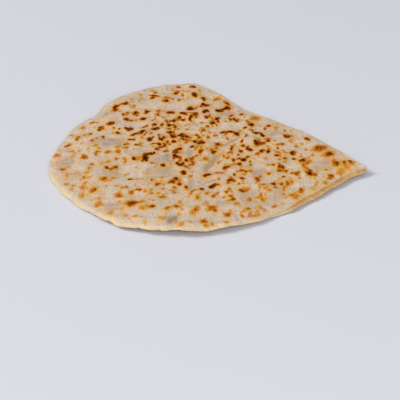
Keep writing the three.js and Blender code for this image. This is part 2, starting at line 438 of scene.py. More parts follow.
def on_bread(column, row):
    """Follows the camera's ray through a place in the picture down to a level, reads the upper face's
    height there, and goes down to that height instead, a few times over."""
    focal = PICTURE / 2 / np.tan(FIELD / 2)
    ray = (-toward_camera + np.multiply.outer((column - PICTURE / 2) / focal, picture_right)
           - np.multiply.outer((row - PICTURE / 2) / focal, picture_up))
    level = TOP_LEVEL
    for _ in range(ROUNDS):
        along = (level - camera_place[2]) / ray[:, 2]
        x, y = camera_place[0] + along * ray[:, 0], camera_place[1] + along * ray[:, 1]
        level = upper_height(x, y)
    return x, y


middle = on_bread(np.array([PICTURE / 2]), np.array([PICTURE / 2]))
print("middle of the picture on the bread, mm:", np.round(np.ravel(middle), 1).tolist())

# %% [markdown]
# Each bold mark is a stroke with two ends, a width and a darkness. An image texture could hold them all,
# but strokes stay sharp at any distance and can be moved one by one.

# %% Bold marks at the left
# Each mark: column and row of both ends in the picture, width in mm, darkness
LEFT_MARKS = [
    (115.2, 104, 116.4, 112.4, 3.4, 0.72), (118.5, 105.4, 125.5, 103.6, 1.2, 0.6),
    (152.8, 90.7, 153, 90.7, 3, 0.35), (140.5, 94.8, 141, 94.8, 2.5, 0.25),
    (149, 95.8, 161, 97, 1.4, 0.65), (165.5, 101.5, 168, 101.2, 2.2, 0.9),
    (126.5, 113, 129, 113.2, 2.4, 0.5), (134, 112.8, 138.5, 113.6, 3.1, 0.85),
    (145, 112.6, 148.5, 112.9, 2.8, 0.9), (158, 111, 158.8, 111, 1.8, 0.6),
    (156.5, 115.8, 159, 115.5, 1.4, 0.75), (125.8, 119.8, 128.4, 119.8, 2.4, 0.9),
    (141, 120.4, 145.5, 119.2, 3, 1), (108, 124, 115, 124.2, 2.6, 0.9), (91, 123.5, 94.5, 123, 2.2, 0.55),
    (99.5, 127.5, 105, 129.5, 2.6, 0.8), (124, 128, 131, 130, 1.4, 0.8),
    (131, 129.4, 133.5, 129, 2, 0.95), (150.5, 129.2, 160, 128.8, 2, 0.8),
    (130, 136.3, 143, 132.8, 1.7, 0.75), (117, 133.6, 119, 133.5, 1.8, 0.85),
    (82, 136, 94, 133, 1.5, 0.5), (75.5, 141.5, 81, 136.8, 1.6, 0.5), (66, 147.3, 72, 144.3, 1.8, 0.55),
    (90.5, 141.4, 93, 140.8, 1.6, 0.6), (95.6, 139, 97.5, 138.4, 1.6, 0.55),
    (91.5, 147, 99.5, 144.5, 1.6, 0.4), (128, 140.4, 136, 139.8, 1.5, 0.6),
    (148.3, 140.3, 151.3, 140, 2.4, 0.95), (157.6, 145, 160.2, 144.6, 2, 0.95),
    (161.5, 140, 163, 139.4, 1.6, 0.9), (133, 145.6, 140, 144.9, 1.2, 0.7),
    (156.5, 149.2, 166.5, 145.4, 1.8, 0.65), (54.5, 156, 59.5, 156, 2.8, 0.5),
    (80, 158.4, 88, 157.2, 3.2, 0.55), (104.5, 153.6, 111.5, 150.8, 2.2, 0.45),
    (117, 149, 121, 152.5, 3.2, 0.3), (144.5, 160, 148, 157, 3.3, 0.9),
    (143.5, 155.6, 155, 154, 1.8, 0.85), (132.6, 158.7, 134.5, 158.3, 1.8, 0.8),
    (137, 157, 140, 160.5, 3, 0.45), (150, 163.2, 154.5, 164, 1.6, 0.55),
    (161, 166.4, 165.5, 165.9, 2.4, 0.75), (104.3, 166.7, 110.4, 170.2, 1.3, 0.55),
    (110.4, 170.2, 118.6, 167.6, 1.6, 0.5), (113, 168, 116, 167, 3.4, 0.45),
    (60, 170, 66, 169.6, 3.1, 0.5), (66.5, 175, 69, 175, 2.6, 0.25), (66, 184.4, 68.5, 185, 3.3, 0.35),
    (85, 173.5, 89, 172, 3.4, 0.28), (102, 179, 106.5, 180, 5, 0.48),
    (127.5, 179.8, 132.5, 179.3, 1.9, 0.6), (82, 187.5, 85, 188.5, 3.6, 0.36),
    (88, 191, 99, 189.8, 4.2, 0.48), (80.5, 196, 83.5, 195.6, 3, 0.4), (97.5, 205, 100, 205, 4.4, 0.42),
    (109, 212.6, 112, 212.8, 3, 0.38), (116.5, 195.5, 121.5, 196, 3.4, 0.5),
    (127.5, 204.6, 136, 203.4, 6, 0.66), (137, 203.4, 146, 201.2, 1.8, 0.55),
    (129, 192.8, 133, 192.6, 2.2, 0.45), (134.5, 190.3, 142, 189.8, 1.2, 0.6),
    (148.5, 193.8, 152.5, 193, 3.6, 0.3), (156.2, 185, 159.4, 185.4, 2.4, 0.72),
    (162.5, 185.2, 165.5, 184.8, 1.4, 0.4), (158.5, 198, 166.5, 196.2, 1.8, 0.5),
    (138, 208.4, 156, 205.4, 2.4, 0.3), (80, 128.8, 86, 127.2, 1.8, 0.35), (67, 152, 75, 150.4, 1.6, 0.4),
    (125, 148.6, 128.4, 146.8, 1.4, 0.55), (104.5, 162.6, 110.5, 160.4, 2.6, 0.32),
    (142, 209.6, 148, 208.4, 3, 0.3), (163, 209.2, 173, 206.6, 1.8, 0.42),
    (134, 180, 143, 178.8, 1.4, 0.3)]
print("marks at the left:", len(LEFT_MARKS))

# %% Bold marks in the middle
MIDDLE_MARKS = [
    (173.5, 94, 177, 93.4, 2.6, 0.9), (190.5, 86.6, 196.5, 88, 2.2, 0.85),
    (193.8, 95.2, 196.6, 95.4, 3.2, 1), (200.5, 99.6, 206, 99, 2, 0.8), (201.5, 104, 205, 105.6, 2.4, 1),
    (205, 105.6, 210, 106.2, 2.6, 0.95), (213, 101, 221, 97.6, 2.8, 0.5),
    (224, 100.6, 229.6, 106.2, 2.8, 0.5), (229, 107.6, 225.6, 109, 3, 0.9),
    (226, 109.6, 216, 112.2, 2.4, 0.75), (189, 108, 192, 110.4, 3.2, 0.95),
    (167, 113.8, 175, 112.4, 3, 0.85), (208.5, 124.6, 216.5, 123, 3.2, 0.95),
    (229.8, 119.3, 234.5, 119.4, 1.6, 0.7), (234.5, 119.4, 239.3, 122.6, 1.6, 0.75),
    (249.5, 119.2, 261, 119, 5, 0.45), (249.8, 125.5, 254, 125.2, 2.6, 1),
    (219, 133.7, 226.7, 132, 1.5, 0.7), (226.7, 132, 234, 132.6, 1.6, 0.75),
    (234, 132.6, 240.5, 135.8, 1.8, 0.8), (253.3, 134.2, 259.4, 132.6, 1.5, 0.7),
    (259.4, 132.6, 265, 137.3, 1.8, 0.7), (256, 142.5, 261, 146, 5, 0.62),
    (242.5, 145.8, 245, 147, 2.2, 0.9), (246, 148.8, 248.4, 149.4, 1.8, 0.85),
    (239, 152, 242, 151.8, 1.9, 0.95), (256, 155, 260, 153.6, 2.2, 0.6),
    (242.5, 160.8, 245.8, 160.2, 2.4, 1), (233, 161.2, 235.6, 160.8, 1.8, 0.85),
    (183, 136, 187, 138.5, 3.4, 0.55), (187.5, 139.5, 191, 141.5, 3.4, 0.45),
    (200.5, 142.2, 205, 143.6, 2.6, 0.95), (206.5, 138.8, 211, 137.4, 1.8, 0.7),
    (191, 148, 193.4, 145.6, 1.8, 0.95), (216.5, 145, 222.5, 146, 3.4, 0.45),
    (216, 145, 217.5, 144.8, 1.6, 0.8), (183.5, 149, 177, 150, 2.2, 0.75),
    (177, 150, 173.8, 153.5, 2.6, 0.85), (173.8, 155.5, 176, 157, 2.4, 0.95),
    (176, 157, 181, 158.4, 1.8, 0.8), (184.5, 161.2, 187.5, 160.6, 1.8, 0.85),
    (188, 162, 194, 160.4, 2.6, 0.5), (178.5, 164.4, 184, 166.4, 2.6, 0.8),
    (184, 166.4, 189.5, 168.4, 2, 0.6), (181, 174.4, 186, 173.2, 3, 0.85),
    (199.5, 151.8, 203, 151, 2.4, 0.7), (211.5, 153, 216.5, 152, 2.2, 0.65),
    (205, 160, 208, 159, 2.8, 0.45), (222, 170, 229.8, 166.8, 1.8, 0.75),
    (204.5, 175.6, 210.5, 175.2, 2.8, 0.85), (213, 173.4, 222, 173, 1.4, 0.4),
    (233.5, 175.6, 236.4, 175, 2, 0.7), (241, 179, 243.2, 179.2, 3.2, 0.7),
    (229, 181.2, 234, 181, 2.6, 0.45), (208.5, 188, 217, 185, 2.8, 0.85),
    (239, 191.2, 251.5, 189.2, 3.2, 0.36), (240, 192, 247, 192.2, 1.2, 0.5),
    (168, 183, 176, 182, 2.2, 0.68), (174.6, 179, 176.2, 178.6, 1.8, 0.75),
    (178, 184.8, 181, 184.6, 2.2, 0.78), (185, 187.8, 188.3, 187.5, 2, 0.65),
    (195.5, 196, 200, 196.6, 3.8, 0.33), (229, 201, 236, 199, 2.4, 0.5),
    (228, 196, 234, 197.5, 1.8, 0.55), (236, 203.5, 240.5, 205, 3.1, 0.35),
    (245.5, 210.2, 251, 208.6, 1.8, 0.5), (260.5, 200.6, 266, 200, 2.8, 0.42),
    (175.5, 206.8, 180, 206, 2.4, 0.55), (189, 212.4, 195.5, 213.2, 3.1, 0.33),
    (209, 210, 212, 209, 3.4, 0.48), (212, 209, 218.5, 206, 1.6, 0.4),
    (226, 214.8, 230.8, 214.8, 3.4, 0.58), (201.5, 222.6, 206, 221.4, 3.3, 0.55),
    (203.5, 228, 212, 227.4, 1.6, 0.4), (178, 223.6, 184, 223, 3.6, 0.3),
    (242, 216.8, 245, 216.6, 1.6, 0.5), (250, 215.6, 257, 215.6, 1.4, 0.4),
    (163, 97.5, 169, 99, 3.4, 0.4), (181, 120.8, 185.5, 119.6, 1.6, 0.8),
    (193, 115.5, 198, 115.8, 1.4, 0.55), (201, 131.2, 206, 131.4, 1.2, 0.5),
    (153.5, 125, 156.8, 125.4, 1, 0.75), (197, 136.4, 201.5, 138.6, 1.8, 0.55),
    (248.5, 129.6, 252, 131, 1.2, 0.5), (163, 151.8, 168, 151.2, 1.2, 0.6),
    (181, 135.2, 185, 134.6, 1.6, 0.7), (197, 139, 199.5, 146, 3, 0.4),
    (190, 159.6, 198.5, 154.8, 1, 0.55), (190, 163.2, 195, 163.4, 1.6, 0.6),
    (229.5, 152.6, 234, 153.6, 2, 0.45), (248, 151.4, 254, 150.8, 1.4, 0.6),
    (260.4, 151.8, 264.6, 151.2, 1.4, 0.8), (245, 172.4, 248, 172.8, 1.6, 0.65),
    (172.5, 187.6, 176, 187.2, 1.4, 0.5), (227.5, 189.8, 232, 189.4, 1.6, 0.45),
    (193.6, 210.2, 199, 208.8, 2.2, 0.5), (252.6, 221.4, 259, 219.8, 2.4, 0.22),
    (210.4, 224, 215, 223.6, 1.2, 0.3)]
print("marks in the middle:", len(MIDDLE_MARKS))

# %% Bold marks at the right
RIGHT_MARKS = [
    (285.5, 137.4, 289, 136.8, 2.8, 1), (289, 136.6, 295, 135.6, 2, 0.35),
    (304, 139.2, 310, 139.4, 2.8, 0.7), (274.5, 127.6, 278, 127.6, 3.6, 0.35),
    (316, 148.5, 322.5, 148, 6, 0.58), (322, 147.4, 328, 146.4, 3, 0.3),
    (324.5, 154, 332.5, 154, 6.2, 0.62), (335.6, 163.4, 337.4, 165.8, 4.4, 0.58),
    (333.5, 161.5, 335, 162, 3, 0.35), (345.5, 161, 350.5, 161.4, 3.4, 0.3),
    (350.2, 161.4, 351, 161.7, 0.8, 0.85), (346, 168, 351, 166.4, 4, 0.3),
    (338, 173.4, 343, 170.6, 4, 0.4), (329, 177.8, 334, 175.6, 3, 0.6), (328, 179.6, 330, 178, 2.6, 0.5),
    (323, 183.4, 326.5, 182.2, 2.6, 0.45), (291.5, 151.8, 295.5, 155, 3.2, 0.85),
    (275, 156, 279.5, 155.6, 3, 0.6), (282.5, 158.6, 287.5, 159.4, 2.6, 0.6),
    (299.5, 161.6, 304.5, 160.2, 2.2, 0.85), (307, 161.6, 312, 160.8, 2.8, 0.5),
    (301, 164, 309, 165, 2.4, 0.42), (306.5, 173.6, 313, 173.4, 2.8, 0.68),
    (313, 174, 317.5, 175, 1.6, 0.5), (296.5, 173.4, 299.8, 173, 3, 0.6),
    (280, 167.6, 284, 167, 2.2, 0.7), (273, 166, 275, 165.2, 1.8, 0.6),
    (285.4, 171.6, 287.4, 171.2, 2, 0.6), (277.5, 171.2, 281, 170.8, 1.6, 0.55),
    (281.5, 177.6, 285.5, 176.8, 1.8, 0.65), (255.5, 179.4, 261, 179.6, 2, 0.6),
    (256, 182, 260, 182, 1.6, 0.5), (263, 185, 266, 184.6, 1.8, 0.55),
    (271.5, 184.6, 276.5, 183.4, 1.8, 0.65), (274, 188.2, 276.5, 187.8, 1.8, 0.5),
    (266.5, 190.8, 271.5, 189.6, 2.6, 0.35), (288.5, 196.6, 296, 194, 3.4, 0.4),
    (296, 194, 305, 189.6, 2.6, 0.38), (272.5, 206.8, 279, 206.4, 2, 0.42),
    (276.4, 145.4, 286, 144.6, 1.4, 0.5), (304.6, 167, 308.6, 169.6, 2.4, 0.42),
    (267.4, 174.8, 272, 173, 1.6, 0.4), (344, 163.6, 345.6, 166.6, 2.6, 0.38),
    (351.6, 163, 352.4, 165, 1.8, 0.35), (352, 171.6, 362, 170.2, 2.6, 0.22)]
print("marks at the right:", len(RIGHT_MARKS))

# %% Small dabs, and all bold marks on the bread
# Each dab, too short for a stroke: column and row of its middle in the picture, width in mm, darkness
DABS = [
    (155.2, 93.4, 1.5, 0.6), (152.8, 98.2, 2, 0.8), (168.8, 98.8, 1.4, 0.5), (176.5, 91.3, 1.6, 0.6),
    (178.8, 87.6, 1.4, 0.6), (182.4, 91, 1.6, 0.65), (182.6, 95.6, 1.6, 0.65), (187.5, 92.6, 1.4, 0.4),
    (184.5, 83.7, 1.4, 0.4), (187.8, 98.2, 1.4, 0.4), (178.5, 100, 2.4, 0.25), (200, 91.1, 2.2, 0.3),
    (197, 107.5, 1.8, 0.5), (181.2, 114.4, 1.2, 0.8), (184.2, 114.4, 1.3, 0.8), (179.8, 118, 1.8, 0.95),
    (189.7, 118, 1.6, 0.85), (191.7, 117.5, 1.4, 0.75), (191, 120, 1.8, 0.9), (195.2, 113.8, 2.4, 0.5),
    (196.2, 117.8, 1.6, 0.5), (203.8, 112.1, 1.8, 0.75), (206.6, 110.7, 1, 0.8), (205.5, 116.4, 2, 0.6),
    (207.2, 118, 1.8, 0.75), (210, 116.8, 1.4, 0.6), (212.5, 119.8, 1.8, 0.65), (217, 119.5, 1.6, 0.95),
    (207.5, 127, 1.2, 0.6), (242.1, 114.8, 1.8, 0.75), (247, 120.9, 1.6, 0.6), (245.6, 128, 1.8, 0.65),
    (246, 136.8, 1.6, 0.7), (204, 129.5, 2.6, 0.45), (186.8, 125, 2.4, 0.28), (175, 127.2, 2, 0.95),
    (173.8, 125.6, 1, 0.8), (169.6, 126, 2, 0.95), (168, 123, 1.4, 0.75), (170.8, 121.6, 1.2, 0.7),
    (169.8, 129.5, 1, 0.8), (174.5, 119.5, 1.6, 0.5), (174.8, 121.3, 1.2, 0.75), (161.6, 126.2, 1.4, 0.9),
    (162, 124.6, 0.9, 0.8), (144.8, 127.6, 1.2, 0.75), (170, 133, 2.4, 0.95), (174, 132.9, 1.4, 0.7),
    (173.6, 137.3, 2.6, 1), (153, 144.3, 1.4, 0.7), (167.8, 141.9, 1.4, 0.7), (173.5, 142, 1.8, 0.8),
    (182, 137.2, 1.4, 0.85), (185, 137.3, 1.4, 0.8), (183.6, 139.6, 1.4, 0.85), (188, 137.2, 1.4, 0.75),
    (195.2, 142.4, 1.6, 0.9), (201, 147.5, 1.4, 0.55), (208.2, 148.2, 2, 0.3), (192.3, 165.4, 1.4, 0.55),
    (217.6, 163.6, 2, 0.35), (232, 147.3, 1.8, 0.8), (231.4, 149.5, 1.6, 0.85), (227.3, 157.4, 1.8, 0.35),
    (242.4, 142, 1.6, 0.75), (264.8, 143.4, 1.4, 0.65), (267.8, 141.5, 1.4, 0.6),
    (268.3, 151.9, 1.6, 0.75), (238.7, 159.3, 1.5, 0.85), (248.4, 157.5, 1.4, 0.7),
    (239.3, 164.5, 1.8, 0.75), (249.8, 165.7, 1.8, 0.8), (250.7, 162, 1.6, 0.6), (235, 165, 1.4, 0.45),
    (241.4, 170.9, 1.8, 0.6), (242.5, 167.3, 2.2, 0.35), (251, 171.6, 3.2, 0.42),
    (267.8, 174.5, 1.8, 0.4), (229.1, 181, 1.4, 0.8), (233.8, 181.2, 1.4, 0.6), (219.8, 179, 1.8, 0.4),
    (201.2, 189.4, 1.8, 0.8), (190.5, 176.6, 1.6, 0.4), (177, 162.9, 1.8, 0.9), (291.8, 131.1, 2, 0.3),
    (269.4, 126.2, 1.6, 0.7), (291.7, 140.8, 1.2, 0.35), (292.3, 143.2, 1.2, 0.4),
    (312.6, 155.7, 1.6, 0.5), (301.8, 156.9, 1.4, 0.45), (286.5, 152.7, 1.6, 0.4),
    (294.5, 159.3, 1.8, 0.75), (279.8, 159.6, 1.2, 0.65), (285.2, 162.2, 1.6, 0.4),
    (279.8, 165.5, 1.3, 0.6), (299.7, 178, 1.8, 0.35), (292, 182.1, 2, 0.45), (326, 170, 1.4, 0.5),
    (344.6, 163.3, 0.9, 0.85), (316.2, 190.6, 2, 0.4), (71, 135.7, 2, 0.4), (79, 150.9, 1.2, 0.35),
    (57, 150, 1.2, 0.3), (99.8, 130.7, 1.8, 0.75), (103.4, 137.4, 1.4, 0.6), (114.1, 128.3, 1.6, 0.5),
    (112.4, 134.1, 1.6, 0.35), (118.5, 146.9, 2, 0.4), (118.8, 152.9, 2, 0.4), (128.1, 144.6, 1.2, 0.6),
    (124.3, 162.2, 2, 0.45), (125.9, 159.6, 1.4, 0.5), (96, 154.6, 1.6, 0.5), (72, 156.8, 2.6, 0.28),
    (131.8, 121.2, 1.8, 0.6), (136, 120.3, 1.8, 0.45), (134, 106.5, 2, 0.35), (126, 104.3, 2, 0.9),
    (142, 132.1, 1.4, 0.85), (141.8, 138.4, 1.4, 0.45), (140.8, 98.6, 1.2, 0.5), (131.8, 99.2, 1.6, 0.35),
    (125.3, 114.8, 2.6, 0.35), (88.5, 168.6, 1.8, 0.4), (89.7, 177.5, 2.2, 0.28),
    (113.8, 178.2, 1.6, 0.38), (126, 174.9, 2, 0.4), (92, 164.7, 1.6, 0.4), (101.3, 164.3, 2.2, 0.28),
    (126.7, 187.5, 1.4, 0.6), (122.2, 188.1, 1.4, 0.35), (151.3, 189.6, 2, 0.4), (158.5, 193.8, 1.8, 0.4),
    (152, 206.7, 2, 0.5), (167.3, 208.2, 1.4, 0.55), (122.2, 208.9, 1.8, 0.35), (126, 215.7, 2.2, 0.35),
    (144.4, 222.2, 2.2, 0.32), (162.7, 218.6, 3, 0.36), (85.8, 183.2, 2.4, 0.38),
    (99.2, 198.6, 1.8, 0.35), (192.7, 191.9, 1.8, 0.55), (175, 192.4, 1.6, 0.5), (190.5, 193.8, 1.4, 0.4),
    (206.8, 194.1, 1.8, 0.5), (213.7, 196.5, 1.6, 0.55), (218, 193.3, 1.4, 0.38),
    (198.2, 198.4, 1.6, 0.45), (227.1, 192.6, 1.6, 0.6), (224.5, 197.6, 1.8, 0.45), (250.7, 201, 2, 0.4),
    (260.9, 194.5, 2, 0.5), (281.5, 184.2, 2, 0.5), (285.3, 187.5, 2.2, 0.45), (287.2, 183.7, 2, 0.5),
    (284.4, 190.7, 1.6, 0.4), (294.8, 197.8, 2.2, 0.45), (301.5, 193, 1.8, 0.4), (301, 189.5, 1.2, 0.5),
    (255.7, 207.7, 1.8, 0.32), (244, 211.5, 1.8, 0.4), (257.3, 211.1, 1.6, 0.35),
    (258.9, 214.4, 1.6, 0.38), (265.2, 211, 1.4, 0.3), (226.4, 221.8, 1.8, 0.45), (233.6, 225, 2, 0.28),
    (257.9, 218.5, 1, 0.5), (191.5, 222.4, 1.6, 0.3), (214.4, 227.3, 1.6, 0.42), (208, 228.7, 1.8, 0.55),
    (182, 209.5, 1.6, 0.45), (203.8, 204.6, 1.8, 0.25), (179.5, 181.8, 3.2, 0.34)]
DAB_HALF = 0.4  # half of a dab's length, in columns of the picture

dabs = np.array(DABS)
seen = np.concatenate([
    np.array(LEFT_MARKS + MIDDLE_MARKS + RIGHT_MARKS),
    np.column_stack([dabs[:, 0] - DAB_HALF, dabs[:, 1], dabs[:, 0] + DAB_HALF, dabs[:, 1:]])])
start_x, start_y = on_bread(seen[:, 0], seen[:, 1])
end_x, end_y = on_bread(seen[:, 2], seen[:, 3])
bold_marks = np.column_stack([start_x, start_y, end_x, end_y, seen[:, 4:]])
print("bold marks:", len(bold_marks), "widest", bold_marks[:, 4].max(), "mm")

# %% [markdown]
# Between the bold marks lie hundreds of specks. They are scattered at random, from a seed, so that they
# come out the same each time: dark and fine in the middle and at the back, larger and more golden at
# the front and at the left.

# %% Specks
SPECK_SEED, UNDER_SEED = 11, 23
SPECK_AREAS = [  # middle x and y, reach, how many, least and most width, least and most darkness
    (-40, 50, 40, 60, 0.8, 1.3, 0.3, 0.7), (20, 10, 40, 70, 0.8, 1.4, 0.3, 0.7),
    (60, 60, 36, 50, 0.9, 1.5, 0.25, 0.6), (50, -40, 45, 60, 1.0, 1.8, 0.15, 0.35),
    (-40, -45, 42, 60, 1.0, 1.8, 0.15, 0.35)]
UNDER_AREAS = [
    (0, 0, 60, 60, 3.0, 7.0, 0.3, 0.8), (-30, 30, 45, 150, 1.2, 2.4, 0.4, 0.95),
    (30, -20, 50, 150, 1.2, 2.4, 0.2, 0.7)]
STROKE = 2.0  # a speck's length is up to this many of its widths


def scatter(areas, seed):
    """Strokes with bell-shaped scatter round each area's middle, turned any way."""
    rng = np.random.default_rng(seed)
    rows = []
    for x, y, reach, count, thin, wide, light, dark in areas:
        width = rng.uniform(thin, wide, count)
        half = width * rng.uniform(0, STROKE / 2, count)
        turn = rng.uniform(0, np.pi, count)
        px, py = rng.normal(x, reach, count), rng.normal(y, reach, count)
        dx, dy = half * np.cos(turn), half * np.sin(turn)
        darkness = rng.uniform(light, dark, count)
        rows.append(np.column_stack([px - dx, py - dy, px + dx, py + dy, width, darkness]))
    return np.concatenate(rows)


top_marks = np.concatenate([bold_marks, scatter(SPECK_AREAS, SPECK_SEED)])
under_marks = scatter(UNDER_AREAS, UNDER_SEED)
print("marks on the upper face:", len(top_marks), "on the lower:", len(under_marks))

# %% [markdown]
# A real mark is no clean stroke. It is a handful of tiny blisters that touched the iron, each dark on
# top and golden round its foot. So each mark becomes a few dots strewn along it, and the heat of all
# dots is added up. Where dots lie close the heat grows dark, and their feet run together into a glow.

# %% How a dot spreads, and how hot it is
DARKEST = 0.93  # the browning of a mark of darkness one, before it gets more heat
HEAT_GAIN, GAIN_FROM = 1.1, (0.35, 0.85)  # dark marks get more heat, by a share, between these darknesses
STRETCH, LEAST_DEEP = 1.25, 0.75  # dough was rolled out away from the camera, and is longer that way


def rolled(x, y):
    """Places across and along the way the dough was rolled, the second shortened by its stretch."""
    across, away = picture_ways(x, y)
    return across, away / STRETCH


def dot_distance(across, far, radius):
    """Squared distance in radii from a dot's middle. Even the smallest dot has a least radius the way of
    rolling."""
    return across**2 / radius**2 + far**2 / (radius**2 + LEAST_DEEP**2)


def heat_for(darkness):
    """The heat for which one minus e to the minus heat is the browning, and more for dark marks."""
    return -np.log(1 - DARKEST * darkness) * (1 + HEAT_GAIN * ease(darkness, *GAIN_FROM))


print("heat of a mark of darkness one:", round(float(heat_for(1.0)), 2))

# %% Dots of heat
CORE_RADIUS, CORE_STRAY = (0.28, 0.60), (0.14, 0.17)  # in widths; strays any way, and the camera's way
SOFT_FROM, SOFT_WIDER = (0.35, 0.75), 0.4  # light marks are wider, between these darknesses, by a share
LEAST_WIDTH = 1.1  # the finest marks are a little wider than they look
END_INSET, MOST_INSET = 0.45, 0.35  # the first dot lies this many widths in, or this share of the length
UNEVEN, EVEN_FROM = 0.5, (2.6, 4.2)  # the dots of a narrow mark differ in heat, by this share
UNEVEN_GLOW = (0.0, 0.6, 2.2)  # the least, most usual and most glow of a mark, as a share of its heat
CORE_DOTS, MOST_DOTS = (4, 2.0), 12  # at least so many, and so many more for each width of length
CRUMBS, CRUMB_RADIUS, CRUMB_STRAY = 3, (0.45, 0.85), 2.0
CRUMB_DARK = (0.3, 0.95)  # as a share of the mark's darkness
TOP_DOT_SEED, UNDER_DOT_SEED = 70, 32


def dots_of(marks, seed):
    """Dots as rows of place, radius, heat and glow: those of a mark's core overlap into its darkness,
    and a few crumbs lie round it. Each mark draws from a seed of its own."""
    rows = []
    for mark, (ax, ay, bx, by, seen_width, dark) in enumerate(marks):
        rng = np.random.default_rng([seed, mark])
        width = np.hypot(seen_width, LEAST_WIDTH)
        length = np.hypot(bx - ax, by - ay)
        core = int(min(CORE_DOTS[0] + CORE_DOTS[1] * length / width, MOST_DOTS))
        count = core + CRUMBS
        is_core = np.arange(count) < core
        in_turn = (np.arange(count) + rng.uniform(0, 1, count)) / core
        inset = min(END_INSET * width / length, MOST_INSET)
        along = inset + (1 - 2 * inset) * np.where(is_core, in_turn, rng.uniform(0, 1, count))
        stray = np.where(is_core, CORE_STRAY[0] * width, CRUMB_STRAY)
        deep = np.where(is_core, CORE_STRAY[1] * width, CRUMB_STRAY) * rng.normal(0, 1, count)
        x = ax + (bx - ax) * along + stray * rng.normal(0, 1, count) + deep * away_x
        y = ay + (by - ay) * along + stray * rng.normal(0, 1, count) + deep * away_y
        wider = width * (1 + SOFT_WIDER * (1 - ease(dark, *SOFT_FROM)))
        core_radius = wider * rng.uniform(*CORE_RADIUS, count)
        radius = np.where(is_core, core_radius, rng.uniform(*CRUMB_RADIUS, count))
        across, far = rolled(x[:core], y[:core])
        apart = dot_distance(across[:, None] - across, far[:, None] - far, radius[:core])
        overlap = np.exp(-apart).sum(axis=1).mean()
        uneven = UNEVEN * (1 - ease(width, *EVEN_FROM))
        core_heat = heat_for(dark) / overlap * rng.uniform(1 - uneven, 1 + uneven, count)
        heat = np.where(is_core, core_heat, heat_for(dark * rng.uniform(*CRUMB_DARK, count)))
        rows.append(np.column_stack([x, y, radius, heat, heat * rng.triangular(*UNEVEN_GLOW)]))
    return np.concatenate(rows)


top_dots = dots_of(top_marks, TOP_DOT_SEED)
under_dots = dots_of(under_marks, UNDER_DOT_SEED)
print("dots on the upper face:", len(top_dots), "on the lower:", len(under_dots))

# %% [markdown]
# The dots become two fields over each face. Char is the browning itself. Glow is wider and softer: dough
# that got hot, but not hot enough to brown. Both are smooth over a cell of the grid, and the material
# cuts the char into shades, so its edges stay sharp although the grid is coarse.

# %% Fields of char and glow
GLOW_WIDER, GLOW_SHARE, GLOW_REACH = 2.4, 0.62, 6.0  # past its reach, in radii, a dot isn't felt
WANDER = [(6.0, 0.5), (2.2, 0.4)]  # size and push of the noise that roughens the marks' edges
TOP_WANDER_SEEDS, UNDER_WANDER_SEEDS = (40, 45), (60, 65)  # for the push along X and along Y
BARE_EDGE, BARE_LIP = (0.5, 4.0), (3.0, 6.0)  # the edge stays pale, further in at the right end
BROWNED = 0.3  # char from which dough is counted as browned


def char_and_glow(x, y, inward, right, dots, seeds):
    """Char is one minus e to the minus heat, where each dot's heat falls off as e to the minus square of
    distance over radius. Glow is the same with wider and weaker dots. The points are put in order
    across the dough, so that each dot is worked out only for the band of points that it reaches."""
    wandered = [place + layered_noise(x, y, WANDER, seed) for place, seed in zip((x, y), seeds)]
    across, along = rolled(*wandered)
    order = np.argsort(across)
    across, along = across[order], along[order]
    dot_across, dot_along = rolled(dots[:, 0], dots[:, 1])
    reach = GLOW_REACH * dots[:, 2]
    ends = np.searchsorted(across, np.column_stack([dot_across - reach, dot_across + reach]))
    heat = np.zeros((2, len(x)))
    for (first, last), middle, depth, (radius, hot, warm) in zip(ends, dot_across, dot_along, dots[:, 2:]):
        squared = dot_distance(across[first:last] - middle, along[first:last] - depth, radius)
        heat[0, first:last] += hot * np.exp(-squared)
        heat[1, first:last] += GLOW_SHARE * warm * np.exp(-squared / GLOW_WIDER**2)
    browned = np.empty_like(heat)
    browned[:, order] = 1 - np.exp(-heat)
    return browned * (ease(inward, *BARE_EDGE) * (1 - right) + ease(inward, *BARE_LIP) * right)


top_right, under_right = edge_right[top_nearest], edge_right[under_nearest]
top_char, top_glow = char_and_glow(top_x, top_y, top_inward, top_right, top_dots, TOP_WANDER_SEEDS)
under_char, under_glow = char_and_glow(
    under_x, under_y, under_inward, under_right, under_dots, UNDER_WANDER_SEEDS)
print("share of the upper face that is browned:", round(float((top_char > BROWNED).mean()), 3))

# %% [markdown]
# ## The upper and lower faces
# The upper face has its lift, thickness and relief. Two small things come on top: a little rise under
# each mark, because it was the blister's top that touched the iron, and a ripple along the lip, where
# fingers pressed it. The lower face only dents upwards, since the bread lies on it.

# %% Heights of both faces
RIPPLE_HEIGHT, RIPPLE_WAVES, RIPPLE_MARGIN = 0.4, 23, 3.0
MARK_RISE = 0.45
UNDER_DENTS, DENT_FROM = [(14.0, 0.35), (5.0, 0.12)], (1.0, 8.0)  # size and height; from the edge
DENT_SEED = 80

ripple = RIPPLE_HEIGHT * np.sin(RIPPLE_WAVES * 2 * np.pi * edge_way[top_nearest]) * (1 - top_fold)
top_filled = ease(top_inward, *RELIEF_FROM)
top_z += (MARK_RISE * top_glow * top_filled
          + ripple * ease(top_inward, 0, RIPPLE_MARGIN) * (1 - top_filled))
under_dent = sum(high * np.abs(noise(under_x, under_y, size, DENT_SEED + k))
                 for k, (size, high) in enumerate(UNDER_DENTS))
under_z = lift(under_x, under_y, under_share) + under_dent * ease(under_inward, *DENT_FROM)
print("upper face from", round(top_z.min(), 2), "to", round(top_z.max(), 2), "mm")

# %% [markdown]
# ## The edge
# The edge joins the two faces. Its section is a short row of points carried round the outline: on the
# pressed lip two rounded leaves with a groove between them, on the fold one round. The sheet was torn
# and rolled by hand, so its edge is nicked.

